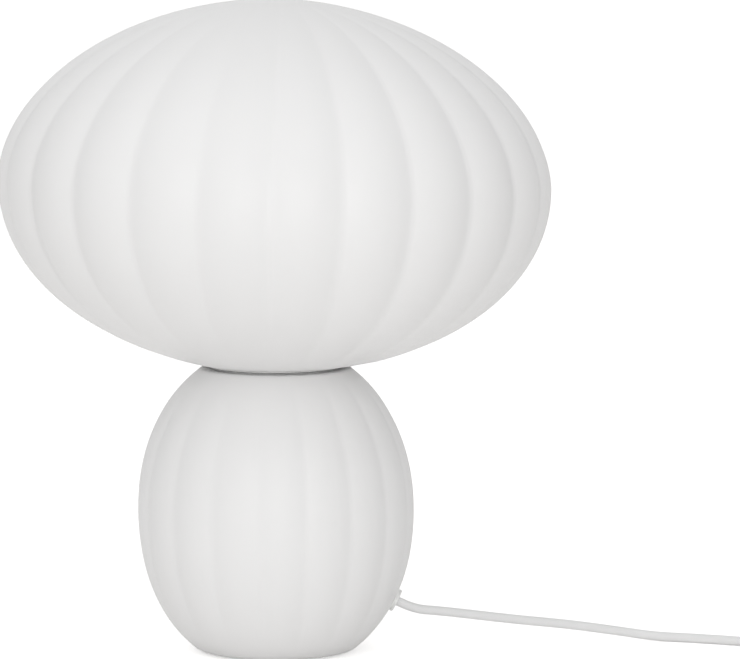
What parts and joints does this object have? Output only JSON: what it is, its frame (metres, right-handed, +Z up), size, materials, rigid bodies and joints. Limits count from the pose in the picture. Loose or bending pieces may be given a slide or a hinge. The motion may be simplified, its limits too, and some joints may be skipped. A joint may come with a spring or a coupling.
{
  "type": "mushroom table lamp",
  "caption": "Table lamp of two pieces of lobed opal glass: a wide cap resting on an egg-shaped foot, with lampholder, bulb, corded switch and plug.",
  "frame": {"origin": "on the floor under the foot, on its axis", "axes": "+Z up, the cord leaves towards +X, -Y faces the viewer"},
  "size_m": [0.5509, 0.2988, 0.3551],
  "materials": {
    "opal_glass": "matt opal white blown glass",
    "felt": "pressed felt",
    "silicone": "translucent white silicone",
    "zinc_steel": "zinc plated",
    "white_plastic": "white moulded plastic",
    "ceramic_white": "unglazed porcelain",
    "brass_metal": "bright brass",
    "nickel_metal": "nickel plated",
    "dark_glass": "black vitrite",
    "cord_braid": "white textile braid",
    "core_brown": "brown core insulation",
    "core_blue": "blue core insulation"
  },
  "bodies": {
    "lamp": {"glass_base": "opal_glass", "foot_pad": "felt", "base_gasket": "silicone", "fitter_plate": "zinc_steel", "shade_gasket": "silicone", "threaded_tube": "zinc_steel", "tube_washer": "zinc_steel", "tube_nut": "zinc_steel", "clamp_bar": "zinc_steel", "clamp_pads": "silicone", "holder_cap": "white_plastic", "grub_screw": "zinc_steel", "holder_skirt": "white_plastic", "holder_insert": "ceramic_white", "screw_shell": "brass_metal", "centre_contact": "brass_metal", "side_contact": "brass_metal", "terminal_screws": "brass_metal", "cord_gland": "white_plastic", "gland_washer": "silicone", "gland_nut": "white_plastic", "cord_grip": "white_plastic", "cord_inner": "cord_braid", "wire_live": "core_brown", "wire_neutral": "core_blue", "cord_lead": "cord_braid", "cord_run": "cord_braid", "cord_tail": "cord_braid", "cord_coil": "cord_braid", "coil_tie": "silicone", "switch_base": "white_plastic", "switch_cover": "white_plastic", "switch_pin": "zinc_steel", "switch_screws": "zinc_steel", "switch_contacts": "brass_metal", "plug_body": "white_plastic", "plug_pins": "nickel_metal", "plug_sleeves": "white_plastic"},
    "shade": {"glass_shade": "opal_glass"},
    "bulb": {"bulb_glass": "opal_glass", "bulb_contact": "nickel_metal", "bulb_insulator": "dark_glass", "bulb_cap": "nickel_metal"},
    "rocker": {"switch_rocker": "white_plastic"}
  },
  "joints": [
    {"name": "shade_lift", "type": "slide", "parent": "lamp", "child": "shade", "axis": [0, 0, 1], "range_m": [0, 0.14]},
    {"name": "bulb_unscrew", "type": "slide", "parent": "lamp", "child": "bulb", "axis": [0, 0, 1], "range_m": [0, 0.026]},
    {"name": "rocker_tip", "type": "hinge", "parent": "lamp", "child": "rocker", "pos_m": [0.282, -0.073, 0.0121], "axis": [1, 0, 0], "range_deg": [0, 14]}
  ]
}
